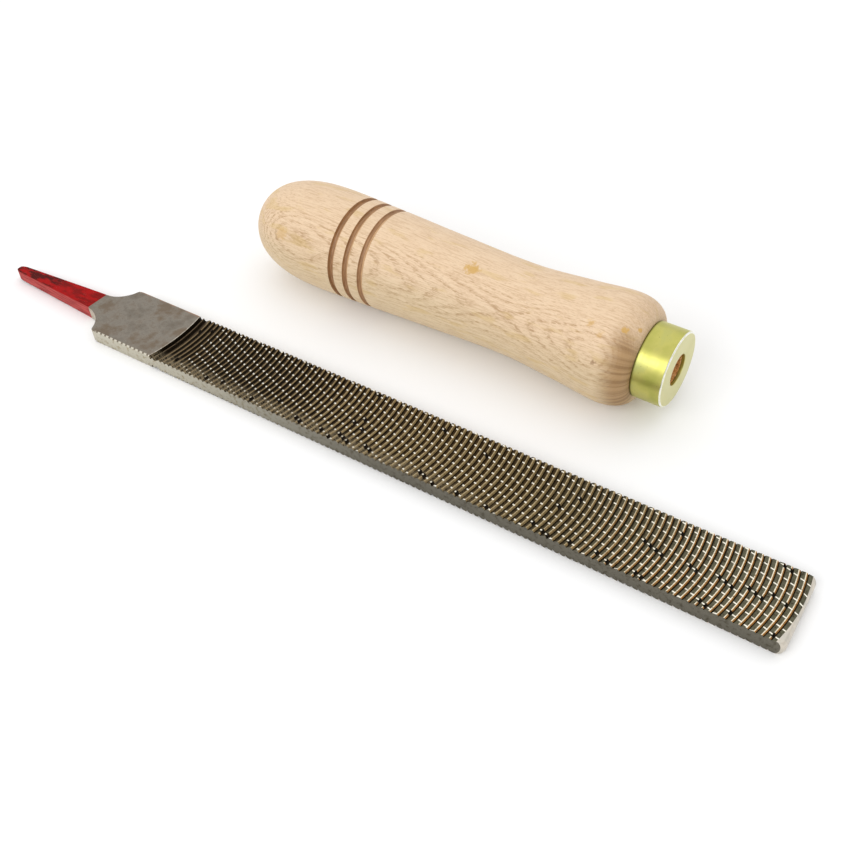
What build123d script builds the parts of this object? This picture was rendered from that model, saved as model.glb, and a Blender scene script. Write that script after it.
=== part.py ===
from build123d import *
import os
from math import cos, radians, sin

# A flat wood rasp with milled curved teeth, lying on a bench beside its loose turned handle.
# Millimetres. +X runs along the blade from tang to tip and +Z is up. The origin is the centre
# of the plain heel's underside, on the surface that both pieces lie on.

# Blade
blade_width = 20.0
heel_thickness = 4.25
shoulder_x = -12.0           # corners where the blade's full width begins
tip_x = 187.0                # end of the rounded nose
nose_length = 1.2
nose_corner_radius = 1.0     # in plan
crest_drop = 0.09            # the tooth crests stand this far below the plain heel

# Teeth: one arc per tooth, the same on both faces, convex towards the tip
tooth_count = 108
arc_radius = 45.0
arc_centre_y = 2.15
last_crest_x = 186.7         # crown of the crest nearest the tip; it runs out over the nose
pitch = 1.615                # from one crest to the next over most of the blade
even_teeth = 75              # counted from the tip; beyond them the teeth close up
crowding = 0.0017
crest_land = 0.26
gullet_depth = 0.66
gullet_floor = 0.15          # width of the flat at the bottom of a gullet
front_lean = 0.30            # how far the cutting face leans over a gullet's depth
arc_half_angle = 18.0        # degrees, enough to run past both edges

# Where the plain heel ends: a deep gullet, a low ridge, then a second deep gullet
heel_edge_x = 11.9           # front of the plain heel, at the crown of its arc
ridge_x = 13.3
ridge_width = 0.3
ridge_drop = 0.45
first_gullet_depth = 1.0

# Tang, slightly off the blade's middle
tang_y = 0.35
tang_tip_x = -53.6
tang_flare_x = -20.3         # where the straight taper turns into the shoulder arcs
tang_root_width = 6.9
tang_tip_width = 3.2
tang_tip_thickness = 3.3
tang_point_length = 3.6      # arched end

# Handle, as it lies beside the blade
mouth_x = 138.5
mouth_y = 44.5
handle_yaw = -1.6            # degrees, its socket looking along +X
handle_length = 131.0

# Grip radii
bulge_radius = 14.7
bulge_x = -16.0              # distances along the handle are from the ferrule's front face
waist_radius = 12.52
waist_x = -44.0
butt_radius = 14.7
butt_x = -107.0
neck_radius = 10.0
dome_fullness = 0.66         # 0.55 would be an ellipse

# Decorative grooves turned near the butt
groove_xs = (-96.7, -91.9, -86.95)
groove_width = 1.75
groove_floor_radius = 13.4

# Ferrule: a drawn steel cap pressed over the grip's spigot
ferrule_radius = 9.95
ferrule_length = 8.1
ferrule_wall = 1.0
ferrule_edge_radius = 0.6
ferrule_hole_radius = 4.15

# Socket for the tang: a wide bore, then a narrow pilot with a drill point
socket_radius = 3.95
socket_depth = 30.0
pilot_radius = 2.6
pilot_depth = 45.0
drill_point = 1.5


def crest_x(tooth):
    """Crown of a tooth's crest; teeth are counted from the tip."""
    crowded = max(0, tooth - even_teeth)
    return last_crest_x - pitch * tooth + crowding * crowded**2


def arc_tool(section):
    """Sweep a radial section about the upright axis that every tooth arc is centred on."""
    face = Plane.XZ * make_face(Polyline(*section, close=True))
    swept = revolve(face, Axis.Z, revolution_arc=2 * arc_half_angle)
    middle = Vector(cos(radians(arc_half_angle)), sin(radians(arc_half_angle)))
    side = -1 if swept.center(CenterOf.BOUNDING_BOX).Y * middle.Y > 0 else 1
    return Rot(Z=side * arc_half_angle) * swept


def gullet_section(width, depth, lean):
    """Steep cutting face on the heel side, flat floor, long slope up to the next tooth."""
    above = 0.3
    front = arc_radius
    back = arc_radius + width
    return [
        (front, above),
        (front, 0),
        (front + lean, -depth),
        (front + lean + gullet_floor, -depth),
        (back, 0),
        (back, above),
    ]


def tooth_cutters():
    """Gullets for the upper face, placed by the crown of each arc."""
    first_crest_x = crest_x(tooth_count - 1)
    cutters = [
        gullet_cutter(heel_edge_x, ridge_x - ridge_width, first_gullet_depth),
        gullet_cutter(ridge_x, first_crest_x - crest_land, first_gullet_depth),
        gullet_cutter(heel_edge_x + 0.5, first_crest_x - 1, ridge_drop, 0),
    ]
    for tooth in range(tooth_count - 1):
        front = crest_x(tooth + 1)
        back = crest_x(tooth) - crest_land
        cutters.append(gullet_cutter(front, back, gullet_depth))
    return cutters


def gullet_cutter(front, back, depth, lean=front_lean):
    """Cutter for the gullet between two places on the crown line."""
    crest_z = heel_thickness - crest_drop
    section = gullet_section(back - front, depth, lean)
    return Pos(front - arc_radius, arc_centre_y, crest_z) * arc_tool(section)


def skim_cutter():
    """Takes the toothed length down to crest height, stopping at the heel's arc."""
    length = tip_x - shoulder_x
    slab = Pos(heel_edge_x + length / 2 - 5, 0, heel_thickness) * Box(
        length, 2 * blade_width, 2 * crest_drop
    )
    heel = Pos(heel_edge_x - arc_radius, arc_centre_y, heel_thickness) * Cylinder(arc_radius, 1)
    return slab - heel


def tang_outline():
    """Plan of the tang with its arched point and the arcs that flare out to the shoulders."""
    root = tang_root_width / 2
    tip = tang_tip_width / 2
    arch_x = tang_tip_x + tang_point_length
    half = blade_width / 2
    taper = Vector(tang_flare_x - arch_x, root - tip)
    upper = [
        TangentArc((tang_flare_x, tang_y + root), (shoulder_x, half), tangent=(taper.X, taper.Y)),
        Line((arch_x, tang_y + tip), (tang_flare_x, tang_y + root)),
    ]
    lower = [
        Line((arch_x, tang_y - tip), (tang_flare_x, tang_y - root)),
        TangentArc((tang_flare_x, tang_y - root), (shoulder_x, -half), tangent=(taper.X, -taper.Y)),
    ]
    pull_x = tang_tip_x - tang_point_length / 3
    point = Bezier(
        (arch_x, tang_y - tip),
        (pull_x, tang_y - tip),
        (pull_x, tang_y + tip),
        (arch_x, tang_y + tip),
    )
    overlap = shoulder_x + 1
    closing = Polyline((shoulder_x, half), (overlap, half), (overlap, -half), (shoulder_x, -half))
    return make_face(upper + lower + [point, closing])


def tang():
    """The plan cut to a side view that thins towards the tip."""
    middle = heel_thickness / 2
    tip = tang_tip_thickness / 2
    side = Polyline(
        (shoulder_x + 2, 0),
        (shoulder_x + 2, heel_thickness),
        (tang_flare_x, heel_thickness),
        (tang_tip_x - 1, middle + tip),
        (tang_tip_x - 1, middle - tip),
        (tang_flare_x, 0),
        close=True,
    )
    side_solid = extrude(Plane.XZ * make_face(side), blade_width, both=True)
    return extrude(tang_outline(), heel_thickness) & side_solid


def nose():
    """Half-elliptical end, with its two corners rounded in plan."""
    middle = heel_thickness / 2
    section = Ellipse(nose_length, middle - crest_drop)
    bullnose = extrude(Plane.XZ * section, blade_width / 2, both=True)
    plan = RectangleRounded(4 * nose_length, blade_width, nose_corner_radius)
    plate = Pos(-nose_length, 0, -middle) * extrude(plan, heel_thickness)
    return Pos(tip_x - nose_length, 0, middle) * (bullnose & plate)


def rasp_blade():
    """One piece of steel: tang, plain heel, toothed faces and rounded nose."""
    middle = heel_thickness / 2
    bar_length = tip_x - nose_length - shoulder_x
    bar = Pos(shoulder_x + bar_length / 2, 0, middle) * Box(bar_length, blade_width, heel_thickness)
    skim = skim_cutter()
    cutters = tooth_cutters()
    lower = [mirror(tool, Plane.XY.offset(middle)) for tool in [skim] + cutters]
    blank = (bar - [skim, lower[0]]) + nose() + tang()
    return blank - (cutters + lower[1:])


def grip_outline():
    """Half section of the grip's outside: swelling behind the ferrule, waist and domed butt."""
    nose = Bezier(
        (-ferrule_length, neck_radius),
        (-ferrule_length - 0.05, 12.2),
        (-10.7, bulge_radius),
        (bulge_x, bulge_radius),
    )
    body = Spline(
        (bulge_x, bulge_radius),
        (-27.0, 13.75),
        (waist_x, waist_radius),
        (-66.0, 13.15),
        (-88.0, 14.1),
        (butt_x, butt_radius),
        tangents=[(-1, 0), (-1, 0)],
    )
    dome_pull = dome_fullness * (handle_length + butt_x)
    dome = Bezier(
        (butt_x, butt_radius),
        (butt_x - dome_pull, butt_radius),
        (-handle_length, dome_fullness * butt_radius),
        (-handle_length, 0),
    )
    return [nose, body, dome]


def handle_grip():
    """Turned beech: swelling, waist, three grooves, domed butt, spigot and tang socket."""
    spigot_radius = ferrule_radius - ferrule_wall
    front = -ferrule_wall
    inside = Polyline(
        (-handle_length, 0),
        (front, 0),
        (front, spigot_radius),
        (-ferrule_length, spigot_radius),
        (-ferrule_length, neck_radius),
    )
    grip = revolve(make_face(grip_outline() + [inside]), Axis.X)
    for groove_x in groove_xs:
        grip -= groove_ring(groove_x)
    return grip - tang_socket(front)


def groove_ring(groove_x):
    """Square cutter for one decorative groove."""
    back = groove_x - groove_width / 2
    front = groove_x + groove_width / 2
    outside = butt_radius + 1
    ring = Polyline(
        (back, outside),
        (back, groove_floor_radius),
        (front, groove_floor_radius),
        (front, outside),
        close=True,
    )
    return revolve(make_face(ring), Axis.X)


def tang_socket(front):
    """Stepped hole that the tang is driven into."""
    hole = Polyline(
        (front + 1, 0),
        (front + 1, socket_radius),
        (-socket_depth, socket_radius),
        (-socket_depth, pilot_radius),
        (-pilot_depth, pilot_radius),
        (-pilot_depth - drill_point, 0),
        close=True,
    )
    return revolve(make_face(hole), Axis.X)


def ferrule():
    """Cap with a rounded front edge and a hole for the tang."""
    inner = ferrule_radius - ferrule_wall
    edge = ferrule_radius - ferrule_edge_radius
    section = [
        Polyline(
            (-ferrule_length, ferrule_radius),
            (-ferrule_length, inner),
            (-ferrule_wall, inner),
            (-ferrule_wall, ferrule_hole_radius),
            (0, ferrule_hole_radius),
            (0, edge),
        ),
        RadiusArc((0, edge), (-ferrule_edge_radius, ferrule_radius), ferrule_edge_radius),
        Line((-ferrule_edge_radius, ferrule_radius), (-ferrule_length, ferrule_radius)),
    ]
    return revolve(make_face(section), Axis.X)


def in_place(piece):
    """Lay a handle piece on the bench beside the blade."""
    return Pos(mouth_x, mouth_y, bulge_radius) * Rot(Z=handle_yaw) * piece


parts = {
    "rasp_blade": rasp_blade(),
    "handle_grip": in_place(handle_grip()),
    "ferrule": in_place(ferrule()),
}

os.makedirs("parts", exist_ok=True)
for node, shape in parts.items():
    export_step(shape, f"parts/{node}.step")
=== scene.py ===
from math import asin, cos, exp, pi, radians, sin, sqrt
from random import Random

import bmesh
import bpy
from mathutils import Matrix, Vector


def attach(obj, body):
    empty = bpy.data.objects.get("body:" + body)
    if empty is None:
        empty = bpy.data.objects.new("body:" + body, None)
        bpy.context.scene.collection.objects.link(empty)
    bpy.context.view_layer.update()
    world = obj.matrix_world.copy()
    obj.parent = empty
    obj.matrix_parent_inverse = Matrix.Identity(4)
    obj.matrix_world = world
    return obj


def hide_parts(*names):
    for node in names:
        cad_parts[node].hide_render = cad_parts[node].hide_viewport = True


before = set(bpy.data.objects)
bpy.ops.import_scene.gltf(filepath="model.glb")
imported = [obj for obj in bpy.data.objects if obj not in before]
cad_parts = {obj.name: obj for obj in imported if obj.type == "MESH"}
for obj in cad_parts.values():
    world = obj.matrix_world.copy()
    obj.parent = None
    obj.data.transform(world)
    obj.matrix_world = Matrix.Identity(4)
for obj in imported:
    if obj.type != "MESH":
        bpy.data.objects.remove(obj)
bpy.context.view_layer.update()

MM = 0.001

# ---------------------------------------------------------------- sizes, in millimetres
# Blade: the CAD part's values, with the tip 0.01 short so that the mesh stays inside it
HALF_WIDTH = 10.0
HEEL_T = 4.25
MIDDLE_Z = HEEL_T / 2
CREST_DROP = 0.09
CREST_Z = HEEL_T - CREST_DROP
SHOULDER_X = -12.0
TIP_X = 186.99
NOSE_LENGTH = 1.2
NOSE_CORNER = 1.0
NOSE_HALF = MIDDLE_Z - CREST_DROP
ARC_R = 45.0
ARC_Y = 2.15
HEEL_EDGE_X = 11.9
LAST_CREST_X = 186.7
TEETH = 108
PITCH = 1.615
EVEN_TEETH = 75              # counted from the tip; beyond them the teeth close up
CROWDING = 0.0017

# Long edges: their rounding on heel and tang, and the columns that follow it, in from the side
EDGE_R = 0.28
EDGE_STEPS = (0.30, 0.16, 0.06, 0.0)
NOSE_STEPS = 8

# Tooth section: share of the pitch ahead of a crest's front edge, and depth below the crest
TOOTH_BY_HEEL = [
    (0.00, 0.00),
    (0.12, 0.22),
    (0.19, 0.54),
    (0.27, 0.63),
    (0.40, 0.48),
    (0.54, 0.17),
    (0.87, 0.012),
]
TOOTH_BY_TIP = [
    (0.00, 0.00),
    (0.14, 0.17),
    (0.19, 0.42),
    (0.24, 0.46),
    (0.29, 0.27),
    (0.36, 0.13),
    (0.86, 0.012),
]
HEEL_SECTION_X = 135.0       # the first section holds up to here
TIP_SECTION_X = 180.0        # and the second from here, with a blend between
FRONT_ROWS = 3               # rows of the section that belong to the steep cutting face
LAND_ROWS = 1                # rows at its end that belong to the narrow crest land
CHANNEL_FROM_ROW = 5         # from this row on, the chip breakers are cut in

# The two gullets next to the heel: distance ahead of it, depth, and what starts there
HEEL_GULLETS = [
    (0.06, 0.35, "front"),
    (0.25, 0.95, "front"),
    (0.62, 1.00, "front"),
    (0.88, 0.62, "front"),
    (1.05, 0.36, "back"),
    (1.36, 0.34, "front"),
    (1.50, 0.62, "front"),
    (1.66, 0.96, "front"),
    (2.05, 0.95, "back"),
    (2.60, 0.62, "back"),
    (3.10, 0.34, "back"),
    (3.46, 0.03, "land"),
]

# Chip breakers: straight shallow channels that cross the backs of the teeth at a slant
BREAKER_ACROSS = 2.77        # from one to the next across the blade
BREAKER_ALONG = 7.67         # and along it
BREAKER_WIDE = 0.50          # width of a channel by the heel
BREAKER_NARROW = 0.30        # and at the tip
BREAKER_DEPTH = 0.09
BREAKER_FLOOR = 0.6          # share of a channel's width that is its floor
BREAKER_START_X = 19.0
BREAKER_PHASE = 0.20
BREAKER_NUMBERS = range(-4, 30)          # enough to cross the whole blade
CHIP_HALF = 0.60             # half the width of a chip in a crest
CHIP_DEPTHS = (0.50, 0.64)   # shallowest and deepest

# Tang
TANG_Y = 0.35
TANG_TIP_X = -53.6
TANG_FLARE_X = -20.3
TANG_ROOT_HALF = 3.45
TANG_TIP_HALF = 1.6
TANG_TIP_T = 3.3
TANG_TIP_ROUND = 1.2         # rounding of the faces at the tip
TANG_ARCH = 3.6
PAINT_END_X = -20.6
PAINT_SLANT = 0.10           # the paint was dipped at a slant
PAINT_SLANT_REACH = 6.0

# Heel
RIM_WIDTH = 0.11             # polished bevel along the heel's arc
RIM_DROP = 0.05
SHOULDER_EASE = 0.32         # the shoulder corners draw in by this much
SHOULDER_EASE_REACH = 0.6
SCALLOP_PITCH = 1.6          # nicks along the near arris
SCALLOP_DEPTH = 0.06
SCALLOP_START_X = -9.8
HEEL_STEPS = 60

# Handle, measured back along its axis from the ferrule's front face
MOUTH = Vector((138.5, 44.5, 14.7))
HANDLE_YAW = -1.6            # degrees
HANDLE_LENGTH = 131.0
NECK_X = -8.1                # back edge of the ferrule
NECK_R = 10.0
FULL_X = -16.0               # where the grip is first at its widest
BUTT_X = -107.0              # where it is so last, and the dome begins
MAX_R = 14.69
WAIST = [(-27.0, 13.75), (-44.0, 12.52), (-66.0, 13.15), (-88.0, 14.1)]
DOME_PULL = 0.66             # how full the butt's dome is
GROOVES = (-96.7, -91.9, -86.95)
GROOVE_W = 1.75
GROOVE_FLOOR_R = 13.45
PITH_GAP = 40.0              # the tree's pith lies this far outside the handle's axis
PITH_Y = 0.89                # in this direction
PITH_Z = -0.45
RING = 0.46                  # growth ring spacing
SOCKET_R = 3.95
SOCKET_END = -30.0
PILOT_R = 2.6                # the hole's narrower end
PILOT_END = -45.0
DRILL_POINT = 1.5
WOOD_FRONT = -1.0            # the wood starts behind the ferrule's front plate
FERRULE_R = 9.95
FERRULE_HOLE_R = 4.15
FERRULE_INNER_R = 8.95
TURNED_SEGMENTS = 160

# Studio, in metres, and camera, in millimetres and degrees
FLOOR_HALF = 3.0
CAMERA_AT = (196.78, -144.81, 189.55)
CAMERA_AZIMUTH = 35.448
CAMERA_ELEVATION = 45.083
CAMERA_ROLL = -3.543
CAMERA_SENSOR = 36.0
CAMERA_LENS = 44.5004

WELD = 2e-7                  # metres; nearer points are made one
FLAT = 1e-7                  # metres; shorter edges are dropped


# ---------------------------------------------------------------- material helpers
class Graph:
    """A material's node tree with short calls for the nodes that this scene uses."""

    def __init__(self, name):
        self.material = bpy.data.materials.new(name)
        self.material.use_nodes = True
        self.tree = self.material.node_tree
        self.shader = self.tree.nodes["Principled BSDF"]

    def node(self, kind, inputs=(), **settings):
        made = self.tree.nodes.new(kind)
        for key, value in settings.items():
            setattr(made, key, value)
        for key, value in dict(inputs).items():
            self.feed(made.inputs[key], value)
        return made

    def feed(self, socket, value):
        if isinstance(value, bpy.types.NodeSocket):
            self.tree.links.new(value, socket)
        else:
            socket.default_value = value

    def set(self, **values):
        """Values for the shader's sockets, with spaces written as underscores."""
        for key, value in values.items():
            self.feed(self.shader.inputs[key.replace("_", " ")], value)

    def place(self, origin=(0, 0, 0), yaw=0.0):
        """Position on the object in millimetres, in a frame at origin turned by yaw."""
        here = self.node("ShaderNodeTexCoord").outputs["Object"]
        local = self.node(
            "ShaderNodeMapping",
            {"Vector": here, "Location": [v * MM for v in origin], "Rotation": (0, 0, yaw)},
            vector_type="TEXTURE",
        ).outputs["Vector"]
        return self.stretch(local, (1 / MM, 1 / MM, 1 / MM))

    def stretch(self, vector, scale):
        return self.node(
            "ShaderNodeMapping", {"Vector": vector, "Scale": scale}, vector_type="POINT"
        ).outputs["Vector"]

    def noise(self, vector, scale=1.0, detail=3.0, roughness=0.5, distortion=0.0):
        return self.node(
            "ShaderNodeTexNoise",
            {
                "Vector": vector,
                "Scale": scale,
                "Detail": detail,
                "Roughness": roughness,
                "Distortion": distortion,
            },
        ).outputs["Fac"]

    def math(self, operation, a, b=0.0):
        made = self.node("ShaderNodeMath", operation=operation)
        self.feed(made.inputs[0], a)
        self.feed(made.inputs[1], b)
        return made.outputs[0]

    def ramp(self, value, *stops):
        """stops are (position, grey or colour)."""
        made = self.node("ShaderNodeValToRGB", {"Fac": value})
        points = made.color_ramp.elements
        while len(points) < len(stops):
            points.new(0.5)
        for point, (position, colour) in zip(points, stops):
            point.position = position
            grey = isinstance(colour, (int, float))
            point.color = (colour, colour, colour, 1) if grey else (*colour, 1)
        return made.outputs["Color"]

    def between(self, value, low, high):
        """0 below low, 1 above high, smooth between; low may be the larger."""
        return self.node(
            "ShaderNodeMapRange",
            {"Value": value, "From Min": low, "From Max": high},
            interpolation_type="SMOOTHSTEP",
        ).outputs["Result"]

    def mix(self, factor, a, b, blend="MIX"):
        made = self.node("ShaderNodeMix", data_type="RGBA", blend_type=blend)
        self.feed(made.inputs[0], factor)
        for socket, value in ((made.inputs[6], a), (made.inputs[7], b)):
            if isinstance(value, tuple) and len(value) == 3:
                value = (*value, 1)
            self.feed(socket, value)
        return made.outputs[2]

    def split(self, vector):
        return self.node("ShaderNodeSeparateXYZ", {"Vector": vector}).outputs

    def bump(self, height, distance, strength=1.0, after=None):
        made = self.node(
            "ShaderNodeBump", {"Height": height, "Distance": distance * MM, "Strength": strength}
        )
        if after is not None:
            self.feed(made.inputs["Normal"], after)
        return made.outputs["Normal"]


# ---------------------------------------------------------------- steel materials
def heel_steel():
    """Ground steel, handled and mottled, warmer and browner in patches."""
    g = Graph("heel_steel")
    at = g.place()
    along, across, _ = g.split(at)
    clouds = g.noise(at, 0.17, 4, 0.6)
    patches = g.noise(at, 0.42, 5, 0.65)
    grind = g.noise(g.stretch(at, (0.25, 9, 1)), 1.0, 3, 0.6)
    speck = g.noise(at, 2.6, 2, 0.5)
    colour = g.ramp(
        clouds,
        (0.34, (0.180, 0.155, 0.124)),
        (0.50, (0.255, 0.229, 0.192)),
        (0.64, (0.190, 0.148, 0.107)),
    )
    brownish = g.math("MULTIPLY", g.between(patches, 0.44, 0.78), 0.42)
    colour = g.mix(brownish, colour, (0.230, 0.175, 0.125))
    colour = g.mix(g.between(speck, 0.60, 0.72), colour, (0.17, 0.13, 0.09))
    far_arris = g.math("MULTIPLY", g.between(across, 9.2, 9.8), g.between(patches, 0.4, 0.55))
    colour = g.mix(far_arris, colour, (0.36, 0.22, 0.15))
    # Painted shade in the nicks along the near arris: dark where each nick is deepest, paler
    # between them.
    nicks = g.math("COSINE", g.math("MULTIPLY", along, 2 * pi / SCALLOP_PITCH))
    arris = g.between(across, -9.55, -9.75)
    nick_shade = g.mix(g.between(nicks, -0.1, 0.6), (0.66, 0.62, 0.52), (0.22, 0.185, 0.14))
    colour = g.mix(g.math("MULTIPLY", arris, g.between(along, -11.0, -9.0)), colour, nick_shade)
    g.set(
        Base_Color=colour,
        Metallic=1.0,
        Roughness=g.ramp(grind, (0.3, 0.36), (0.7, 0.48)),
        Normal=g.bump(grind, 0.012, 0.5, g.bump(clouds, 0.05, 0.3)),
    )
    return g.material


def edge_steel():
    """The blade's narrow sides: coarse grinding marks, pale near the heel, dull to the tip."""
    g = Graph("edge_steel")
    at = g.place()
    along = g.split(at)[0]
    mottle = g.noise(at, 0.8, 4, 0.6)
    speck = g.noise(at, 2.2, 3, 0.6)
    grind = g.noise(g.stretch(at, (2.2, 1, 5)), 1.0, 4, 0.65)
    near_heel = g.between(along, 95, -5)
    colour = g.mix(near_heel, (0.165, 0.152, 0.120), (0.56, 0.53, 0.44))
    rust = g.mix(near_heel, (0.10, 0.088, 0.062), (0.40, 0.335, 0.225))
    colour = g.mix(g.between(mottle, 0.50, 0.68), colour, rust)
    colour = g.mix(g.between(speck, 0.60, 0.72), colour, rust)
    g.set(
        Base_Color=colour,
        Metallic=1.0,
        Roughness=g.ramp(mottle, (0.3, 0.42), (0.7, 0.6)),
        Normal=g.bump(grind, 0.05, 0.7),
    )
    return g.material


def nose_steel():
    """The rounded end: belt-ground and pale."""
    g = Graph("nose_steel")
    at = g.place()
    grind = g.noise(g.stretch(at, (1, 0.5, 6)), 1.0, 3, 0.6)
    mottle = g.noise(at, 0.6, 3, 0.55)
    g.set(
        Base_Color=g.ramp(mottle, (0.35, (0.66, 0.60, 0.51)), (0.65, (0.56, 0.53, 0.47))),
        Metallic=1.0,
        Roughness=g.ramp(grind, (0.3, 0.34), (0.7, 0.46)),
        Normal=g.bump(grind, 0.02, 0.5),
    )
    return g.material


def rim_steel():
    """The polished bevel where the heel ends."""
    g = Graph("rim_steel")
    at = g.place()
    wear = g.noise(at, 1.1, 3, 0.6)
    g.set(
        Base_Color=g.ramp(wear, (0.36, (0.66, 0.62, 0.55)), (0.64, (0.40, 0.35, 0.29))),
        Metallic=0.8,
        Roughness=g.ramp(wear, (0.3, 0.25), (0.7, 0.4)),
    )
    return g.material


def tooth_streaks(g, at):
    """Grinding scratches that run along the blade, across the teeth."""
    return g.noise(g.stretch(at, (0.7, 5.5, 0.7)), 1.0, 3, 0.6)


def wander(g, at, amount):
    """Position along the blade in millimetres, with the zone borders blurred by amount."""
    patch = g.noise(at, 0.13, 2, 0.5)
    shift = g.math("MULTIPLY", g.math("SUBTRACT", patch, 0.5), amount)
    return g.math("ADD", g.split(at)[0], shift)


def near_edge_dust(g, at):
    """Pale dust packed between the teeth along the near edge, on the heel's half."""
    along, across, _ = g.split(at)
    edge = g.between(across, -5.2, -8.6)
    return g.math("MULTIPLY", edge, g.between(along, 135, 90))


def tooth_back():
    """The long slope behind each crest: dark brown near the heel, olive grey near the tip; partly
    oil, partly painted reflection.
    """
    g = Graph("tooth_back")
    at = g.place()
    grain = g.noise(at, 1.9, 4, 0.65)
    streaks = tooth_streaks(g, at)
    along = wander(g, at, 40.0)
    # Partly painted reflection, partly oil: darker brown towards the heel, olive grey towards the
    # tip.
    colour = g.mix(g.between(along, 108, 160), (0.050, 0.029, 0.010), (0.118, 0.113, 0.074))
    crumbs = g.noise(at, 1.1, 3, 0.65)
    crumb = g.math("MULTIPLY", g.between(crumbs, 0.52, 0.64), g.between(along, 120, 60))
    colour = g.mix(crumb, colour, (0.135, 0.090, 0.045))
    colour = g.mix(g.between(g.split(at)[0], 18.0, 14.5), colour, (0.125, 0.083, 0.045))
    dust = g.math("MULTIPLY", near_edge_dust(g, at), g.between(streaks, 0.35, 0.6))
    colour = g.mix(dust, colour, (0.26, 0.21, 0.13))
    colour = g.mix(g.between(grain, 0.48, 0.72), colour, (0.035, 0.024, 0.011))
    g.set(
        Base_Color=colour,
        Metallic=0.9,
        Roughness=g.ramp(grain, (0.3, 0.42), (0.7, 0.58)),
        Normal=g.bump(grain, 0.03, 0.5),
    )
    return g.material


def crest_land():
    """The narrow top of each tooth: tan by the heel, bright cream at the tip; partly oil and wear,
    partly painted highlight.
    """
    g = Graph("crest_land")
    at = g.place()
    wear = g.noise(at, 0.9, 3, 0.6)
    streaks = tooth_streaks(g, at)
    along = wander(g, at, 36.0)
    # Partly painted highlight, partly oil and wear: tan by the heel, paler to mid-blade, bright
    # cream at the tip.
    colour = g.mix(g.between(along, 20, 95), (0.26, 0.180, 0.082), (0.43, 0.34, 0.190))
    colour = g.mix(g.between(along, 130, 168), colour, (0.84, 0.76, 0.58))
    colour = g.mix(g.between(streaks, 0.5, 0.72), colour, (0.20, 0.14, 0.07))
    colour = g.mix(g.between(wear, 0.60, 0.76), colour, (0.14, 0.085, 0.035))
    g.set(
        Base_Color=colour,
        Metallic=0.85,
        Roughness=g.ramp(wear, (0.3, 0.30), (0.7, 0.46)),
        Normal=g.bump(wear, 0.02, 0.4),
    )
    return g.material


def tooth_front():
    """The cutting face: painted lit above a depth, khaki in mid-blade and amber near the tip, a
    painted reflection; below it painted black as shade in the gullet.
    """
    g = Graph("tooth_front")
    at = g.place()
    grain = g.noise(at, 2.2, 3, 0.6)
    streaks = tooth_streaks(g, at)
    along = wander(g, at, 30.0)
    height = g.split(at)[2]
    from_middle = g.math("ABSOLUTE", g.math("SUBTRACT", height, MIDDLE_Z))
    below = g.math("SUBTRACT", CREST_Z - MIDDLE_Z, from_middle)
    # Painted light and shade: above a depth that changes along the blade the face takes lit
    # colours; below it the gullet is painted near black as shade.
    reach = g.math("ADD", 0.05, g.math("MULTIPLY", g.between(along, 35, 105), 0.46))
    reach = g.math("SUBTRACT", reach, g.math("MULTIPLY", g.between(along, 125, 165), 0.20))
    lit = g.between(g.math("SUBTRACT", below, reach), 0.06, -0.06)
    khaki = g.mix(g.between(along, 20, 95), (0.23, 0.158, 0.070), (0.34, 0.245, 0.110))
    bright = g.mix(g.between(along, 130, 165), khaki, (0.50, 0.220, 0.050))
    bright = g.mix(g.between(streaks, 0.45, 0.66), bright, (0.19, 0.125, 0.05))
    colour = g.mix(lit, (0.011, 0.007, 0.003), bright)
    dust = g.math("MULTIPLY", near_edge_dust(g, at), g.between(streaks, 0.6, 0.4))
    colour = g.mix(dust, colour, (0.27, 0.22, 0.14))
    g.set(
        Base_Color=g.mix(g.between(grain, 0.56, 0.78), colour, (0.04, 0.024, 0.01)),
        Metallic=0.45,
        Specular_IOR_Level=0.15,
        Roughness=0.42,
        Normal=g.bump(streaks, 0.02, 0.4),
    )
    return g.material


def breaker_steel():
    """Freshly cut metal in the chip breakers, painted near white as a painted highlight."""
    g = Graph("breaker_steel")
    at = g.place()
    grain = g.noise(at, 3.0, 2, 0.5)
    along, across, _ = g.split(at)
    dull = g.math("MULTIPLY", g.between(across, -4.5, -8.0), g.between(along, 110, 50))
    dull = g.math("MAXIMUM", dull, g.between(g.noise(at, 0.5, 3, 0.6), 0.56, 0.70))
    # Painted highlight: a near-white base colour with little metallic.
    colour = g.ramp(grain, (0.3, (0.98, 0.96, 0.87)), (0.7, (0.88, 0.83, 0.68)))
    g.set(
        Base_Color=g.mix(g.math("MULTIPLY", dull, 0.6), colour, (0.36, 0.29, 0.18)),
        Metallic=0.15,
        Roughness=g.ramp(grain, (0.3, 0.30), (0.7, 0.45)),
    )
    return g.material


def oil_pit():
    """Black oil and swarf in the chipped places."""
    g = Graph("oil_pit")
    at = g.place()
    clot = g.noise(at, 2.5, 3, 0.6)
    g.set(
        Base_Color=g.ramp(clot, (0.35, (0.004, 0.003, 0.002)), (0.7, (0.020, 0.012, 0.005))),
        Specular_IOR_Level=0.12,
        Roughness=g.ramp(clot, (0.3, 0.75), (0.7, 0.95)),
        Normal=g.bump(clot, 0.05, 0.5),
    )
    return g.material


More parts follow.
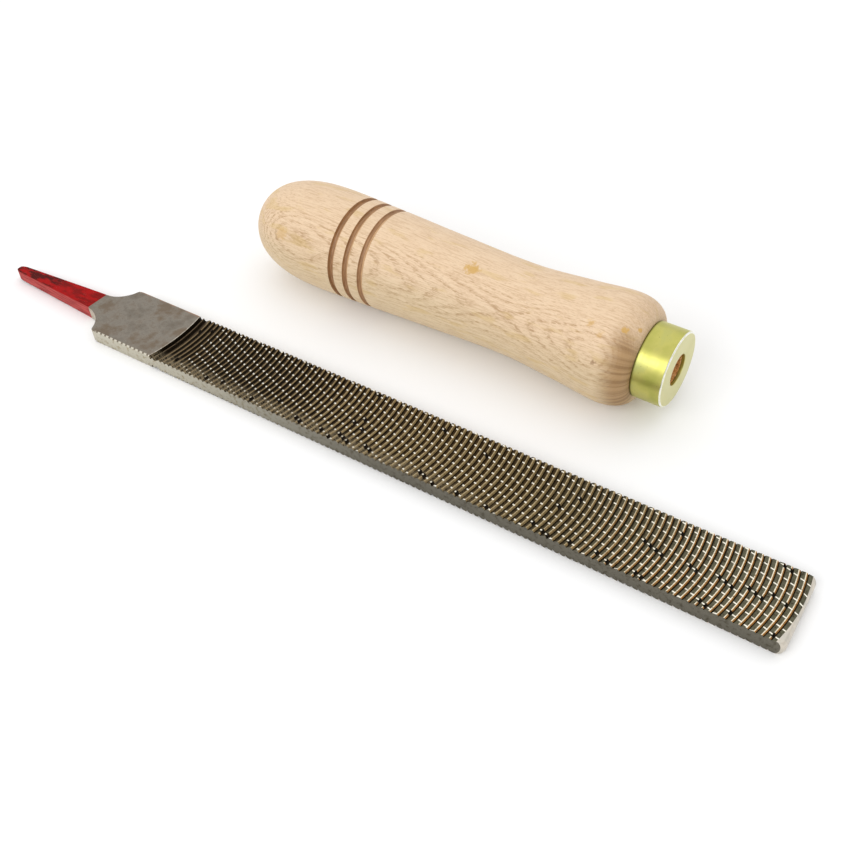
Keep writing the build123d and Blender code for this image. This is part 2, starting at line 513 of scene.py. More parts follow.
def tang_paint():
    """Thin red dip paint: dark and smudged on top; the sides painted pinkish, a painted reflection.
    """
    g = Graph("tang_paint")
    at = g.place()
    along = g.split(at)[0]
    smudge = g.noise(g.stretch(at, (0.35, 1, 1)), 0.55, 5, 0.65)
    speck = g.noise(at, 3.2, 3, 0.6)
    streak = g.noise(g.stretch(at, (0.12, 2.5, 2.5)), 1.0, 3, 0.5)
    # Painted reflection: faces that point sideways get a paler, pinkish red; those facing up or
    # down get the dark top colour.
    facing = g.node("ShaderNodeNewGeometry").outputs["Normal"]
    up = g.math("ABSOLUTE", g.split(facing)[2])
    flat = g.between(up, 0.35, 0.8)
    towards_tip = g.between(along, -30, -46)
    dark = g.math("MULTIPLY", g.between(smudge, 0.44, 0.60), g.math("ADD", 0.55, towards_tip))
    top = g.mix(dark, (0.34, 0.003, 0.003), (0.075, 0.006, 0.005))
    side = g.mix(g.between(streak, 0.35, 0.65), (0.46, 0.075, 0.068), (0.27, 0.035, 0.034))
    colour = g.mix(flat, side, top)
    colour = g.mix(g.between(speck, 0.66, 0.74), colour, (0.44, 0.14, 0.12))
    g.set(
        Base_Color=colour,
        Roughness=g.ramp(smudge, (0.3, 0.45), (0.7, 0.65)),
        Specular_IOR_Level=0.07,
        Normal=g.bump(smudge, 0.06, 0.5, g.bump(speck, 0.02, 0.5)),
    )
    return g.material


def ferrule_plating():
    """Yellow-green zinc passivate on drawn steel, with faint drawing lines round the barrel."""
    g = Graph("ferrule_plating")
    at = g.place(MOUTH, radians(HANDLE_YAW))
    tint = g.noise(at, 0.18, 3, 0.5)
    lines = g.noise(g.stretch(at, (7, 0.2, 0.2)), 1.0, 2, 0.5)
    speck = g.noise(at, 2.0, 2, 0.5)
    colour = g.ramp(
        tint, (0.32, (0.43, 0.43, 0.10)), (0.52, (0.53, 0.50, 0.14)), (0.70, (0.47, 0.47, 0.16))
    )
    colour = g.mix(g.between(speck, 0.70, 0.76), colour, (0.30, 0.28, 0.08))
    along = g.split(at)[0]
    # Darker where the back edge meets the wood: partly grime, partly painted shade.
    back_edge_shade = g.between(along, NECK_X + 0.75, NECK_X + 0.1)
    colour = g.mix(g.math("MULTIPLY", back_edge_shade, 0.75), colour, (0.13, 0.14, 0.03))
    # The front face is paler and greyer than the barrel.
    rubbed = g.math("MULTIPLY", g.between(along, -0.30, -0.08), 0.8)
    colour = g.mix(rubbed, colour, (0.68, 0.65, 0.36))
    g.set(
        Base_Color=colour,
        Metallic=1.0,
        Roughness=g.ramp(lines, (0.3, 0.34), (0.7, 0.43)),
        Normal=g.bump(lines, 0.01, 0.3),
    )
    return g.material


def ferrule_rim():
    """The burnished front edge, where the plating is rubbed to bare steel."""
    g = Graph("ferrule_rim")
    at = g.place(MOUTH, radians(HANDLE_YAW))
    wear = g.noise(at, 0.8, 3, 0.5)
    g.set(
        Base_Color=g.ramp(wear, (0.35, (0.92, 0.92, 0.90)), (0.65, (0.78, 0.77, 0.60))),
        Metallic=1.0,
        Roughness=g.ramp(wear, (0.3, 0.16), (0.7, 0.28)),
    )
    return g.material


# ---------------------------------------------------------------- wood materials
def blotch(g, at, centre, radius):
    """1 at the centre of a round stain, fading unevenly to 0 at its radius."""
    gap = g.node("ShaderNodeVectorMath", {0: at, 1: centre}, operation="DISTANCE").outputs["Value"]
    uneven = g.math("MULTIPLY", g.math("SUBTRACT", g.noise(at, 0.9, 3, 0.6), 0.5), radius * 2.4)
    return g.between(g.math("ADD", gap, uneven), radius, radius * 0.35)


def stained(g, at, colour):
    """Ochre stains and one small knot, each a place on the handle and a radius."""
    ochre = (0.56, 0.32, 0.060)
    for centre, radius, strength in (
        ((-56.5, -4.8, 11.9), 2.3, 0.75),
        ((-11.9, -6.9, 12.4), 1.05, 0.75),
        ((-9.4, -4.4, 11.6), 0.8, 0.75),
        ((-20.3, -8.2, 11.9), 1.2, 0.55),
        ((-17.0, -9.6, 10.9), 1.1, 0.45),
        ((-114.6, -12.2, 6.2), 2.6, 0.40),
    ):
        mask = g.math("MULTIPLY", blotch(g, at, centre, radius), strength)
        colour = g.mix(mask, colour, ochre)
    knot = blotch(g, at, (-16.3, -13.7, 5.3), 0.8)
    return g.mix(g.math("MULTIPLY", knot, 0.6), colour, (0.24, 0.11, 0.04))


def growth_rings(g, at):
    """Growth rings about a pith outside the handle: 0 to 1 across each ring."""
    bend = g.noise(g.stretch(at, (0.03, 0.09, 0.09)), 1.0, 2, 0.4)
    ripple = g.noise(g.stretch(at, (0.20, 0.35, 0.35)), 1.0, 2, 0.5)
    along, across, up = g.split(at)
    pith_y = g.math("SUBTRACT", across, PITH_GAP * PITH_Y)
    pith_z = g.math("SUBTRACT", up, PITH_GAP * PITH_Z)
    square = g.math("ADD", g.math("MULTIPLY", pith_y, pith_y), g.math("MULTIPLY", pith_z, pith_z))
    radius = g.math("ADD", g.math("SQRT", square), g.math("MULTIPLY", bend, 1.7))
    radius = g.math("ADD", radius, g.math("MULTIPLY", ripple, 0.34))
    radius = g.math("SUBTRACT", radius, g.math("MULTIPLY", along, 0.018))
    return g.math("FRACT", g.math("DIVIDE", radius, RING))


def beech(name):
    """Beech sawn flat: growth rings surface as ovals and arcs among dark ray flecks."""
    g = Graph(name)
    at = g.place(MOUTH, radians(HANDLE_YAW))
    along, across, up = g.split(at)
    ring = growth_rings(g, at)
    late = g.math("MULTIPLY", g.between(ring, 0.35, 0.80), g.between(ring, 1.0, 0.86))
    towards = g.math("ADD", g.math("MULTIPLY", across, -PITH_Y), g.math("MULTIPLY", up, -PITH_Z))
    round_out = g.math("ADD", g.math("MULTIPLY", across, across), g.math("MULTIPLY", up, up))
    facing = g.math("DIVIDE", towards, g.math("SQRT", round_out))
    flat_sawn = g.between(facing, 0.76, 0.96)

    fleck = g.noise(g.stretch(at, (0.60, 2.8, 2.8)), 1.0, 2, 0.55, 0.6)
    hair = g.noise(g.stretch(at, (0.16, 2.8, 2.8)), 1.0, 3, 0.6)
    pore = g.noise(g.stretch(at, (0.9, 4.5, 4.5)), 1.0, 2, 0.5)
    cloud = g.noise(g.stretch(at, (0.02, 0.08, 0.08)), 1.0, 3, 0.5)

    lit_peach = (0.735, 0.545, 0.365)
    cream = (0.675, 0.528, 0.338)
    brown = (0.34, 0.180, 0.065)
    # Painted shade: the top is peach and the lower side a darker cream, the border blurred by
    # clouds.
    height = g.math("ADD", up, g.math("MULTIPLY", g.math("SUBTRACT", cloud, 0.5), 16.0))
    colour = g.mix(g.between(height, 9.0, -3.0), lit_peach, cream)

    arcs = g.math("MULTIPLY", late, g.math("ADD", 0.15, g.between(fleck, 0.44, 0.58)))
    spread = g.math("ADD", 0.10, flat_sawn)
    colour = g.mix(g.math("MULTIPLY", g.math("MULTIPLY", arcs, spread), 0.42), colour, brown)
    strokes = g.math("MULTIPLY", g.between(fleck, 0.585, 0.66), g.math("ADD", 0.10, flat_sawn))
    colour = g.mix(g.math("MULTIPLY", strokes, 0.13), colour, brown)
    lines = g.math("MULTIPLY", g.between(hair, 0.48, 0.64), 0.24)
    colour = g.mix(lines, colour, brown)
    colour = g.mix(g.math("MULTIPLY", g.between(pore, 0.55, 0.66), 0.24), colour, brown)
    pale = g.math("MULTIPLY", g.between(hair, 0.46, 0.34), 0.30)
    colour = g.mix(pale, colour, (0.80, 0.64, 0.45))
    honey = g.noise(g.stretch(at, (0.10, 0.35, 0.35)), 1.0, 2, 0.5)
    honeyed = g.math("MULTIPLY", g.between(honey, 0.55, 0.68), 0.38)
    colour = g.mix(honeyed, colour, (0.60, 0.42, 0.16))

    turn = g.math("ARCTAN2", up, across)
    spokes = g.node(
        "ShaderNodeTexNoise", {"W": turn, "Scale": 9.0, "Detail": 3.0}, noise_dimensions="1D"
    )
    low_side = g.math("ADD", 0.25, g.math("MULTIPLY", g.between(across, -5.0, -10.0), 0.75))
    end_grain = g.math("MULTIPLY", g.between(along, -16.5, -10.0), low_side)
    shade = g.mix(
        g.between(spokes.outputs["Fac"], 0.40, 0.62), (0.40, 0.245, 0.110), (0.27, 0.150, 0.060)
    )
    colour = g.mix(g.math("MULTIPLY", end_grain, 0.95), colour, shade)
    colour = stained(g, at, colour)
    relief = g.math("SUBTRACT", g.math("MULTIPLY", hair, 0.6), g.math("MULTIPLY", arcs, 0.5))
    g.set(
        Base_Color=colour,
        Roughness=g.ramp(hair, (0.3, 0.46), (0.7, 0.60)),
        Specular_IOR_Level=0.35,
        Normal=g.bump(relief, 0.05, 0.6),
    )
    return g.material


def burnished(name, colour_a, colour_b):
    """Wood scorched brown by the turning tool in a groove."""
    g = Graph(name)
    at = g.place(MOUTH, radians(HANDLE_YAW))
    scorch = g.noise(g.stretch(at, (2.5, 0.35, 0.35)), 1.0, 3, 0.6)
    g.set(
        Base_Color=g.mix(g.between(scorch, 0.3, 0.7), colour_a, colour_b),
        Roughness=0.5,
        Normal=g.bump(scorch, 0.05, 0.5),
    )
    return g.material


def drilled_wood():
    """Torn, orange-brown wood inside the socket."""
    g = Graph("drilled_wood")
    at = g.place(MOUTH, radians(HANDLE_YAW))
    torn = g.noise(at, 1.6, 5, 0.7)
    fine = g.noise(at, 5.0, 3, 0.6)
    g.set(
        Base_Color=g.ramp(
            torn, (0.36, (0.34, 0.12, 0.035)), (0.50, (0.78, 0.36, 0.10)), (0.62, (0.93, 0.6, 0.28))
        ),
        Roughness=0.85,
        Normal=g.bump(torn, 0.5, 0.8, g.bump(fine, 0.15, 0.6)),
    )
    return g.material


# ---------------------------------------------------------------- mesh helpers
def finish_mesh(name, vertices, faces, slots, materials, sharp_angle):
    """A mesh object from lists; points that coincide are welded and flat leftovers dropped."""
    mesh = bpy.data.meshes.new(name)
    mesh.from_pydata([[c * MM for c in v] for v in vertices], [], faces)
    mesh.polygons.foreach_set("material_index", slots)
    for material in materials:
        mesh.materials.append(material)
    work = bmesh.new()
    work.from_mesh(mesh)
    bmesh.ops.remove_doubles(work, verts=work.verts, dist=WELD)
    bmesh.ops.dissolve_degenerate(work, edges=work.edges, dist=FLAT)
    bmesh.ops.recalc_face_normals(work, faces=work.faces)
    work.to_mesh(mesh)
    work.free()
    mesh.polygons.foreach_set("use_smooth", [True] * len(mesh.polygons))
    mesh.set_sharp_from_angle(angle=radians(sharp_angle))
    piece = bpy.data.objects.new(name, mesh)
    bpy.context.scene.collection.objects.link(piece)
    return piece


def turned(name, section, slots, materials, sharp_angle):
    """A closed section of (distance, radius) points turned about the handle's axis."""
    segments = TURNED_SEGMENTS
    vertices = []
    for distance, radius in section:
        for k in range(segments):
            angle = 2 * pi * k / segments
            vertices.append((distance, radius * cos(angle), radius * sin(angle)))
    faces = []
    face_slots = []
    rows = len(section)
    for row in range(rows):
        after = (row + 1) % rows
        for k in range(segments):
            right = (k + 1) % segments
            faces.append(
                (
                    row * segments + k,
                    row * segments + right,
                    after * segments + right,
                    after * segments + k,
                )
            )
            face_slots.append(slots[row])
    turn = Matrix.Translation(MOUTH) @ Matrix.Rotation(radians(HANDLE_YAW), 4, "Z")
    vertices = [turn @ Vector(v) for v in vertices]
    return finish_mesh(name, vertices, faces, face_slots, materials, sharp_angle)


# ---------------------------------------------------------------- blade
def arc_sag(y):
    """How far a tooth arc has fallen back from its crown at this y."""
    return ARC_R - sqrt(ARC_R**2 - (y - ARC_Y) ** 2)


def breaker_distance(x, y):
    """Distance across the blade to the nearest chip breaker, and that breaker's number."""
    count = x / BREAKER_ALONG + y / BREAKER_ACROSS + BREAKER_PHASE
    nearest = round(count)
    return abs(count - nearest) * BREAKER_ACROSS, nearest


def tang_half(x):
    """Half the blade's width at x, through tang, flare and heel."""
    if x >= SHOULDER_X:
        return HALF_WIDTH
    if x > TANG_FLARE_X:
        reach = SHOULDER_X - TANG_FLARE_X
        rise = HALF_WIDTH - TANG_ROOT_HALF
        radius = (reach**2 + rise**2) / (2 * rise)
        return TANG_ROOT_HALF + radius - sqrt(radius**2 - (x - TANG_FLARE_X) ** 2)
    arch_x = TANG_TIP_X + TANG_ARCH
    taper = (x - arch_x) / (TANG_FLARE_X - arch_x)
    if x > arch_x:
        return TANG_TIP_HALF + (TANG_ROOT_HALF - TANG_TIP_HALF) * taper
    back = (arch_x - x) / TANG_ARCH
    return TANG_TIP_HALF * sqrt(max(0.0, 1 - back**2))


def tang_middle(x):
    """Where the blade's centre line runs: the tang sits a little to one side."""
    if x >= SHOULDER_X:
        return 0.0
    if x <= TANG_FLARE_X:
        return TANG_Y
    return TANG_Y * (SHOULDER_X - x) / (SHOULDER_X - TANG_FLARE_X)


def half_thickness(x):
    """Half the blade's thickness at x, through tang and heel."""
    if x >= TANG_FLARE_X:
        return MIDDLE_Z
    share = (TANG_FLARE_X - x) / (TANG_FLARE_X - TANG_TIP_X)
    return MIDDLE_Z + (TANG_TIP_T / 2 - MIDDLE_Z) * share


def rounded_edge(inset, radius):
    """Drop of a rounded edge at a distance inset from the side."""
    if inset >= radius:
        return 0.0
    return radius - sqrt(radius**2 - (radius - inset) ** 2)


def breaker_half(x):
    """Half the width of a chip breaker at x."""
    share = max(0.0, min(1.0, (x - HEEL_EDGE_X) / (TIP_X - HEEL_EDGE_X)))
    return (BREAKER_WIDE + (BREAKER_NARROW - BREAKER_WIDE) * share) / 2


def row_ys(x_crown):
    """Column positions across the blade for a row whose crown is at x_crown.

    Each chip breaker has six: a chip's sides, the channel's sides and its floor's sides.
    Those of breakers beyond the blade's sides fall together at its edge.
    """
    inner = HALF_WIDTH - EDGE_STEPS[0]
    ys = []
    cut = breaker_half(x_crown)
    for number in BREAKER_NUMBERS:
        y = 0.0
        for _ in range(3):
            x = x_crown - arc_sag(max(-HALF_WIDTH, min(HALF_WIDTH, y)))
            y = (number - BREAKER_PHASE - x / BREAKER_ALONG) * BREAKER_ACROSS
        floor = BREAKER_FLOOR * cut
        for part in (-CHIP_HALF, -cut, -floor, floor, cut, CHIP_HALF):
            ys.append(max(-inner, min(inner, y + part)))
    outer = [HALF_WIDTH - step for step in EDGE_STEPS[1:]]
    return [-y for y in reversed(outer)] + ys + outer


def crest_x(tooth):
    """Crown of a tooth's crest; teeth are counted from the tip."""
    crowded = max(0, tooth - EVEN_TEETH)
    return LAST_CREST_X - PITCH * tooth + CROWDING * crowded**2


def tooth_section(crown):
    """The tooth section at a crest: its gullet narrows towards the tip."""
    reach = TIP_SECTION_X - HEEL_SECTION_X
    tipward = max(0.0, min(1.0, (crown - HEEL_SECTION_X) / reach))
    section = []
    for (share_a, depth_a), (share_b, depth_b) in zip(TOOTH_BY_HEEL, TOOTH_BY_TIP):
        share = share_a + (share_b - share_a) * tipward
        section.append((share, depth_a + (depth_b - depth_a) * tipward))
    return section


def nose_end(y):
    """Where the blade ends at this y: its corners are rounded."""
    return TIP_X - rounded_edge(HALF_WIDTH - abs(y), NOSE_CORNER)


def nose_drop(x, y):
    """How far the rounded nose lies below the crests here: past its end, to the middle."""
    reach = (x - (nose_end(y) - NOSE_LENGTH)) / NOSE_LENGTH
    if reach <= 0:
        return 0.0
    return NOSE_HALF * (1 - sqrt(max(0.0, 1 - reach**2)))


def tooth_row(crown, depth, channel=0.0, chips=None):
    """One row of points along a tooth arc, cut where a chip breaker or a chip crosses it.

    The columns at the sides of a channel or a chip stay up; those nearer its middle go down.
    """
    row = []
    for y in row_ys(crown):
        x = crown - arc_sag(y)
        away, number = breaker_distance(x, y)
        low = depth
        if away < breaker_half(x) * 0.8:
            low += channel
        if chips and number in chips and away < CHIP_HALF * 0.8:
            low = max(low, chips[number])
        row.append((x, y, CREST_Z - max(low, nose_drop(x, y))))
    return row


def shoulder_ease(x):
    """How far the blade's sides draw in where its shoulder corners are rounded."""
    return SHOULDER_EASE * exp(-(((x - SHOULDER_X) / SHOULDER_EASE_REACH) ** 2))


def paint_slant(x):
    """Skew of the cross rows near the border of the paint."""
    return PAINT_SLANT * max(0.0, 1 - abs(x - PAINT_END_X) / PAINT_SLANT_REACH)


def scallop(x):
    """Depth of the row of nicks along the heel's near arris."""
    if x < SCALLOP_START_X:
        return 0.0
    return SCALLOP_DEPTH * max(0.0, cos(2 * pi * x / SCALLOP_PITCH))


def tang_rows(ys):
    """Rows from the tang's tip to the shoulder."""
    rows = []
    tip_steps = [TANG_TIP_X + TANG_ARCH * (1 - cos(pi / 2 * k / 8)) for k in range(9)]
    taper_steps = [TANG_TIP_X + TANG_ARCH + k * 1.9 for k in range(1, 16)]
    flare_steps = [TANG_FLARE_X + (SHOULDER_X - TANG_FLARE_X) * k / 12 for k in range(1, 12)]
    for x in tip_steps + taper_steps + flare_steps:
        half = tang_half(x)
        middle = tang_middle(x)
        thick = half_thickness(x)
        inner = max(0.0, half - EDGE_STEPS[0] * min(1.0, half / TANG_TIP_HALF))
        row = []
        for y in ys:
            if abs(y) > HALF_WIDTH - EDGE_STEPS[0]:
                inset = (HALF_WIDTH - abs(y)) * min(1.0, half / TANG_TIP_HALF)
                offset = (half - inset) * (1 if y > 0 else -1)
            else:
                inset = EDGE_STEPS[0]
                offset = y / (HALF_WIDTH - EDGE_STEPS[0]) * inner
            drop = rounded_edge(inset, EDGE_R)
            drop += rounded_edge(x - TANG_TIP_X, TANG_TIP_ROUND) / 2
            offset *= 1 - shoulder_ease(x) / HALF_WIDTH
            row.append((x + paint_slant(x) * offset, middle + offset, MIDDLE_Z + thick - drop))
        rows.append(row)
    return rows


def heel_rows(ys):
    """Rows from the shoulder to the heel's arc edge and down its polished bevel."""
    rows = []
    for k in range(HEEL_STEPS + 1):
        share = k / HEEL_STEPS
        row = []
        for y in ys:
            edge_x = HEEL_EDGE_X - RIM_WIDTH - arc_sag(y)
            x = SHOULDER_X + (edge_x - SHOULDER_X) * share
            drop = rounded_edge(HALF_WIDTH - abs(y), EDGE_R)
            if y < -HALF_WIDTH + EDGE_STEPS[0] * 0.9:
                drop += scallop(x)
            row.append((x, y * (1 - shoulder_ease(x) / HALF_WIDTH), HEEL_T - drop))
        rows.append(row)
    rows.append([(x + RIM_WIDTH, y, z - RIM_DROP) for x, y, z in rows[-1]])
    return rows


def nose_rows(ys, last):
    """Rows from the last tooth row round the nose to its equator."""
    rows = []
    for k in range(NOSE_STEPS + 1):
        row = []
        for y, before in zip(ys, last):
            base = nose_end(y) - NOSE_LENGTH
            start = asin(min(1.0, (max(base, before[0]) - base) / NOSE_LENGTH))
            reach = sin(start + (pi / 2 - start) * k / NOSE_STEPS)
            x = base + NOSE_LENGTH * reach
            z = MIDDLE_Z + NOSE_HALF * sqrt(max(0.0, 1 - reach**2))
            row.append((x, y, z))
        rows.append(row)
    return rows


def chip_chance(x, y):
    """Chips gather along the near edge, in the middle close to the tip, and by the heel."""
    if y < -8.2:
        return 0.10 if x < 60 else 0.40
    if x > 150 and abs(y + 0.4) < 1.4:
        return 0.6
    if x < 45 and y < -3.5:
        return 0.14
    return 0.025


def tooth_chips(crown, luck):
    """Depth of the chip at each chip breaker of this tooth that has one."""
    chips = {}
    for number in BREAKER_NUMBERS:
        y = (number - BREAKER_PHASE - crown / BREAKER_ALONG) * BREAKER_ACROSS
        roll = luck.random()
        depth = luck.uniform(*CHIP_DEPTHS)
        if abs(y) < HALF_WIDTH and roll < chip_chance(crown, y):
            chips[number] = depth
    return chips


def blade_half():
    """Rows of the upper face from tang to tip; each band's material and each band's chips."""
    luck = Random(8)
    ys = row_ys(HEEL_EDGE_X)
    rows = tang_rows(ys) + heel_rows(ys)
    bands = []
    for row in rows:
        x = sum(p[0] for p in row) / len(row)
        bands.append("paint" if x < PAINT_END_X else "heel")
    bands[-2] = "rim"
    bands[-1] = "front"
    for ahead, depth, kind in HEEL_GULLETS:
        rows.append(tooth_row(HEEL_EDGE_X + ahead, depth))
        bands.append(kind)
    pits = [{} for _ in rows]
    for tooth in range(TEETH - 1, 0, -1):
        crown = crest_x(tooth)
        gap = crest_x(tooth - 1) - crown
        chips = tooth_chips(crown, luck)
        section = tooth_section(crown)
        for index, (share, depth) in enumerate(section):
            channelled = index >= CHANNEL_FROM_ROW and crown > BREAKER_START_X
            cut = BREAKER_DEPTH if channelled else 0.0
            broken = chips if index < 2 else {}
            rows.append(tooth_row(crown + share * gap, depth, cut, broken))
            pits.append(chips if index < FRONT_ROWS else {})
            if index < FRONT_ROWS:
                bands.append("front")
            elif index >= len(section) - LAND_ROWS:
                bands.append("land")
            else:
                bands.append("back")
        pits[-len(section) - 1] = chips          # the land that ends at this crest is chipped too
    bands[-1] = "nose"
    nose = nose_rows([p[1] for p in rows[-1]], rows[-1])
    rows += nose
    bands += ["nose"] * len(nose)
    pits += [{}] * len(nose)
    return rows, bands, pits


def face_kind(band, chips, corners):
    """Which material a toothed face carries."""
    x = sum(p[0] for p in corners) / 4
    y = sum(p[1] for p in corners) / 4
    away, number = breaker_distance(x, y)
    if number in chips and away < CHIP_HALF * 0.9:
        return "pit"
    if away < breaker_half(x) and band in ("back", "land") and x > BREAKER_START_X + 1:
        return "breaker"
    return band


BLADE_MATERIALS = {
    "heel": heel_steel,
    "edge": edge_steel,
    "back": tooth_back,
    "land": crest_land,
    "front": tooth_front,
    "breaker": breaker_steel,
    "paint": tang_paint,
    "pit": oil_pit,
    "nose": nose_steel,
    "rim": rim_steel,
}


def build_blade():
    """The whole blade as one closed mesh: upper rows, their mirror below, and the side walls."""
    slot_of = {kind: number for number, kind in enumerate(BLADE_MATERIALS)}
    rows, bands, pits = blade_half()
    width = len(rows[0])
    top = [p for row in rows for p in row]
    below = [(x, y, HEEL_T - z) for x, y, z in top]
    vertices = top + below
    shift = len(top)
    faces = []
    slots = []
    for i in range(len(rows) - 1):
        band = bands[i]
        toothed = band in ("front", "back", "land")
        gullet_floor = band == "back" and "front" in bands[i - 2 : i]
        for j in range(width - 1):
            a, b = i * width + j, i * width + j + 1
            c, d = b + width, a + width
            if top[a][1] == top[b][1] and top[d][1] == top[c][1]:
                continue
            kind = band
            if toothed and not gullet_floor:
                kind = face_kind(band, pits[i], (top[a], top[b], top[c], top[d]))
            faces.append((a, d, c, b))
            faces.append((a + shift, b + shift, c + shift, d + shift))
            slots += [slot_of[kind]] * 2
        side = slot_of["paint"] if band == "paint" else slot_of["edge"]
        for j in (0, width - 1):
            a, d = i * width + j, (i + 1) * width + j
            face = (a, a + shift, d + shift, d)
            faces.append(face if j == 0 else face[::-1])
            slots.append(side)
    materials = [make() for make in BLADE_MATERIALS.values()]
    blade = finish_mesh("blade_detail", vertices, faces, slots, materials, 38.0)
    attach(blade, "blade")
    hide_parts("rasp_blade")


# ---------------------------------------------------------------- handle
def bezier(p0, p1, p2, p3, steps):
    """Points along a cubic curve, without its last one."""
    points = []
    for k in range(steps):
        t = k / steps
        u = 1 - t
        weights = (u**3, 3 * u * u * t, 3 * u * t * t, t**3)
        points.append(
            tuple(sum(w * p[c] for w, p in zip(weights, (p0, p1, p2, p3))) for c in (0, 1))
        )
    return points


def smooth_through(points, steps):
    """A curve through all the points, level at both ends."""
    count = len(points)
    slopes = [0.0]
    for k in range(1, count - 1):
        slopes.append((points[k + 1][1] - points[k - 1][1]) / (points[k + 1][0] - points[k - 1][0]))
    slopes.append(0.0)
    made = []
    for k in range(count - 1):
        (x0, r0), (x1, r1) = points[k], points[k + 1]
        reach = x1 - x0
        for s in range(steps):
            t = s / steps
            made.append(
                (
                    x0 + reach * t,
                    r0 * (2 * t**3 - 3 * t**2 + 1)
                    + reach * slopes[k] * (t**3 - 2 * t**2 + t)
                    + r1 * (3 * t**2 - 2 * t**3)
                    + reach * slopes[k + 1] * (t**3 - t**2),
                )
            )
    return made


def grip_outside():
    """The grip's outline from neck to butt, with its grooves."""
    steep = (NECK_X - 0.05, NECK_R + 2.2)
    level = (FULL_X + 5.3, MAX_R)
    nose = bezier((NECK_X, NECK_R), steep, level, (FULL_X, MAX_R), 22)
    body = smooth_through([(FULL_X, MAX_R)] + WAIST + [(BUTT_X, MAX_R)], 14)
    pull = DOME_PULL * (HANDLE_LENGTH + BUTT_X)
    dome = bezier(
        (BUTT_X, MAX_R),
        (BUTT_X - pull, MAX_R),
        (-HANDLE_LENGTH, DOME_PULL * MAX_R),
        (-HANDLE_LENGTH, 0.0),
        26,
    )
    return nose, body, dome + [(-HANDLE_LENGTH, 0.0)]


def radius_at(curve, distance):
    """Radius of an outline at a distance along the axis."""
    for (x0, r0), (x1, r1) in zip(curve, curve[1:]):
        if x1 <= distance <= x0:
            return r0 + (r1 - r0) * (distance - x0) / (x1 - x0)
    return curve[-1][1]


def grooved(body):
    """The body's outline with each groove let in; returns points and a material slot for each."""
    points = []
    slots = []
    edges = [(g + GROOVE_W / 2, g - GROOVE_W / 2) for g in GROOVES]
    for x, r in body:
        near = any(low - 0.35 <= x <= high + 0.35 for high, low in edges)
        if not near:
            points.append((x, r))
            slots.append(0)
    for high, low in edges:
        r_high = radius_at(body, high)
        r_low = radius_at(body, low)
        shape = [
            (high + 0.30, radius_at(body, high + 0.30), 0),
            (high + 0.06, r_high, 0),
            (high, r_high - 0.06, 1),
            (high - 0.20, GROOVE_FLOOR_R + 0.34, 1),
            (high - 0.45, GROOVE_FLOOR_R + 0.08, 1),
            (high - 0.80, GROOVE_FLOOR_R, 2),
            (low + 0.40, GROOVE_FLOOR_R + 0.02, 2),
            (low + 0.14, GROOVE_FLOOR_R + 0.16, 2),
            (low, GROOVE_FLOOR_R + 0.55, 2),
            (low - 0.04, r_low - 0.05, 0),
            (low - 0.12, r_low, 0),
            (low - 0.30, radius_at(body, low - 0.30), 0),
        ]
        points += [(x, r) for x, r, _ in shape]
        slots += [s for _, _, s in shape]
    order = sorted(range(len(points)), key=lambda k: -points[k][0])
    return [points[k] for k in order], [slots[k] for k in order]


def build_grip():
    """The turned beech handle with its grooves, socket and pilot hole."""
    nose, body, dome = grip_outside()
    body_points, body_slots = grooved(body)
    hole = [(PILOT_END - DRILL_POINT, 0.0), (PILOT_END, PILOT_R), (SOCKET_END, PILOT_R)]
    hole += [(x, SOCKET_R) for x in (SOCKET_END, -24.0, -17.0, -10.0, -4.0, WOOD_FRONT - 0.05)]
    hole.append((WOOD_FRONT, SOCKET_R + 0.08))
    spigot = [(WOOD_FRONT, FERRULE_INNER_R - 0.05), (NECK_X, FERRULE_INNER_R - 0.02)]
    section = nose + body_points + dome + hole + spigot
    slots = [0] * len(nose) + body_slots + [0] * len(dome)
    slots += [3] * len(hole) + [0] * len(spigot)
    materials = [
        beech("beech"),
        burnished("groove_brown", (0.47, 0.27, 0.13), (0.60, 0.38, 0.20)),
        burnished("groove_dark", (0.25, 0.125, 0.048), (0.38, 0.20, 0.088)),
        drilled_wood(),
    ]
    grip = turned("grip_detail", section, slots, materials, 32.0)
    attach(grip, "handle")
    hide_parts("handle_grip")


def arc_points(centre, radius, start, end, steps):
    """Points along an arc between two angles in degrees."""
    made = []
    for k in range(steps + 1):
        angle = radians(start + (end - start) * k / steps)
        made.append((centre[0] + radius * cos(angle), centre[1] + radius * sin(angle)))
    return made


def build_ferrule():
    """Drawn cap: flared back edge, plain barrel, rounded front edge and a rolled-in hole."""
    edge_r = 0.55
    front_edge = arc_points((-edge_r, FERRULE_R - edge_r), edge_r, 90, 0, 8)
    hole_r = 0.25
    hole_edge = arc_points((-hole_r, FERRULE_HOLE_R + hole_r), hole_r, 0, -90, 5)
    back = [(NECK_X + 0.02, 9.0), (NECK_X + 0.02, FERRULE_R - 0.02)]
    barrel = [(NECK_X + 0.12, FERRULE_R + 0.04), (NECK_X + 0.5, FERRULE_R + 0.02)]
    barrel += [(NECK_X + 1.1, FERRULE_R), (-4.5, FERRULE_R), (-2.0, FERRULE_R)]
    hole = [(WOOD_FRONT + 0.1, FERRULE_HOLE_R), (WOOD_FRONT + 0.02, FERRULE_INNER_R)]
    section = back + barrel + front_edge + hole_edge + hole
    first_bright = len(back) + len(barrel) + 2
    slots = [0] * first_bright + [1] * 5
    slots += [0] * (len(section) - len(slots))
    materials = [ferrule_plating(), ferrule_rim()]
    piece = turned("ferrule_detail", section, slots, materials, 40.0)
    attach(piece, "handle")
    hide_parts("ferrule")


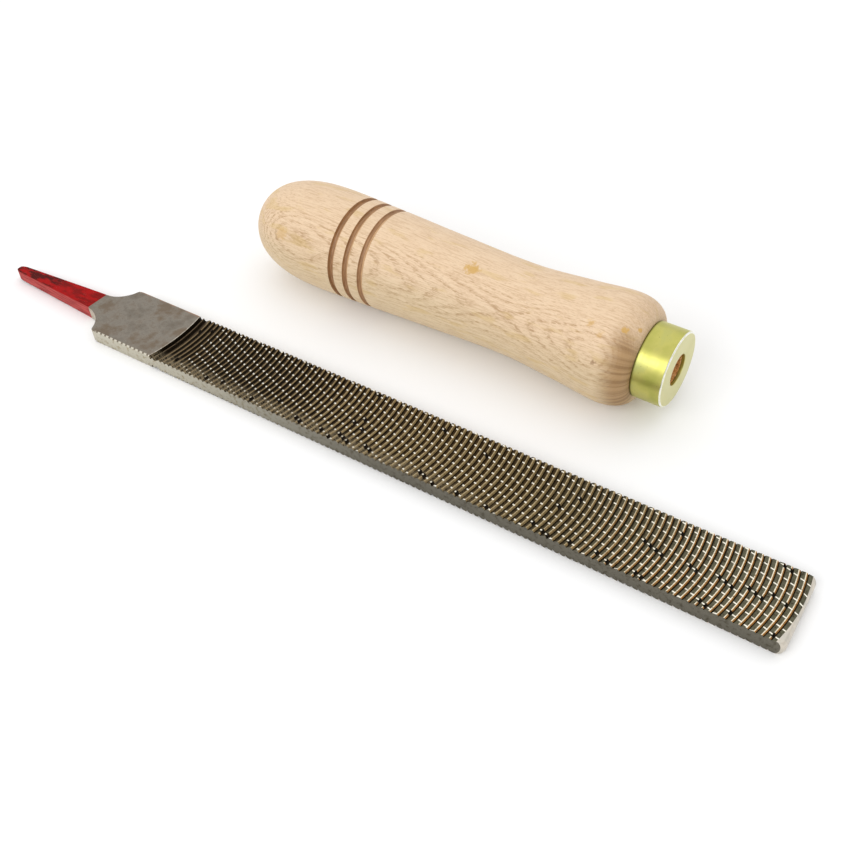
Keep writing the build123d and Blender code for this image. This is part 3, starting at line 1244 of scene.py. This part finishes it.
# ---------------------------------------------------------------- studio
def build_floor():
    """A plain pale floor that the object lies on."""
    g = Graph("studio_floor")
    g.set(Base_Color=(0.93, 0.93, 0.93, 1), Roughness=0.9)
    mesh = bpy.data.meshes.new("floor")
    signs = ((-1, -1), (1, -1), (1, 1), (-1, 1))
    corners = [(FLOOR_HALF * x, FLOOR_HALF * y, 0) for x, y in signs]
    mesh.from_pydata(corners, [], [(0, 1, 2, 3)])
    mesh.materials.append(g.material)
    floor = bpy.data.objects.new("floor", mesh)
    bpy.context.scene.collection.objects.link(floor)


def area_light(name, position, target, size, power):
    """A rectangular light aimed at a target; metres and watts."""
    data = bpy.data.lights.new(name, "AREA")
    data.shape = "RECTANGLE"
    data.size, data.size_y = size
    data.energy = power
    lamp = bpy.data.objects.new(name, data)
    lamp.location = position
    lamp.rotation_euler = (Vector(target) - Vector(position)).to_track_quat("-Z", "Y").to_euler()
    bpy.context.scene.collection.objects.link(lamp)


def build_light():
    """White surroundings, a large lamp behind the object and a small one in front."""
    world = bpy.data.worlds.new("studio")
    world.use_nodes = True
    background = world.node_tree.nodes["Background"]
    background.inputs["Color"].default_value = (1.0, 1.0, 1.0, 1)
    background.inputs["Strength"].default_value = 0.88
    bpy.context.scene.world = world
    middle = (0.07, 0.02, 0.0)
    area_light("key", (0.10, 0.55, 0.95), middle, (2.2, 1.8), 3.5)
    area_light("fill", (-0.06, -0.76, 0.64), middle, (0.6, 0.5), 3.2)


def build_camera():
    """Looks down across blade and handle from the near side of the blade's tip."""
    azimuth = radians(CAMERA_AZIMUTH)
    elevation = radians(CAMERA_ELEVATION)
    roll = radians(CAMERA_ROLL)
    forward = Vector(
        (-sin(azimuth) * cos(elevation), cos(azimuth) * cos(elevation), -sin(elevation))
    )
    right = forward.cross(Vector((0, 0, 1))).normalized()
    up = right.cross(forward)
    turned_right = right * cos(roll) + up * sin(roll)
    turned_up = up * cos(roll) - right * sin(roll)
    data = bpy.data.cameras.new("camera")
    data.sensor_width = CAMERA_SENSOR
    data.lens = CAMERA_LENS
    data.clip_start = 0.01
    camera = bpy.data.objects.new("camera", data)
    axes = Matrix((turned_right, turned_up, -forward)).transposed()
    camera.matrix_world = Matrix.Translation(Vector(CAMERA_AT) * MM) @ axes.to_4x4()
    bpy.context.scene.collection.objects.link(camera)
    bpy.context.scene.camera = camera


build_blade()
build_grip()
build_ferrule()
build_floor()
build_light()
build_camera()
bpy.context.scene.view_settings.view_transform = "Standard"
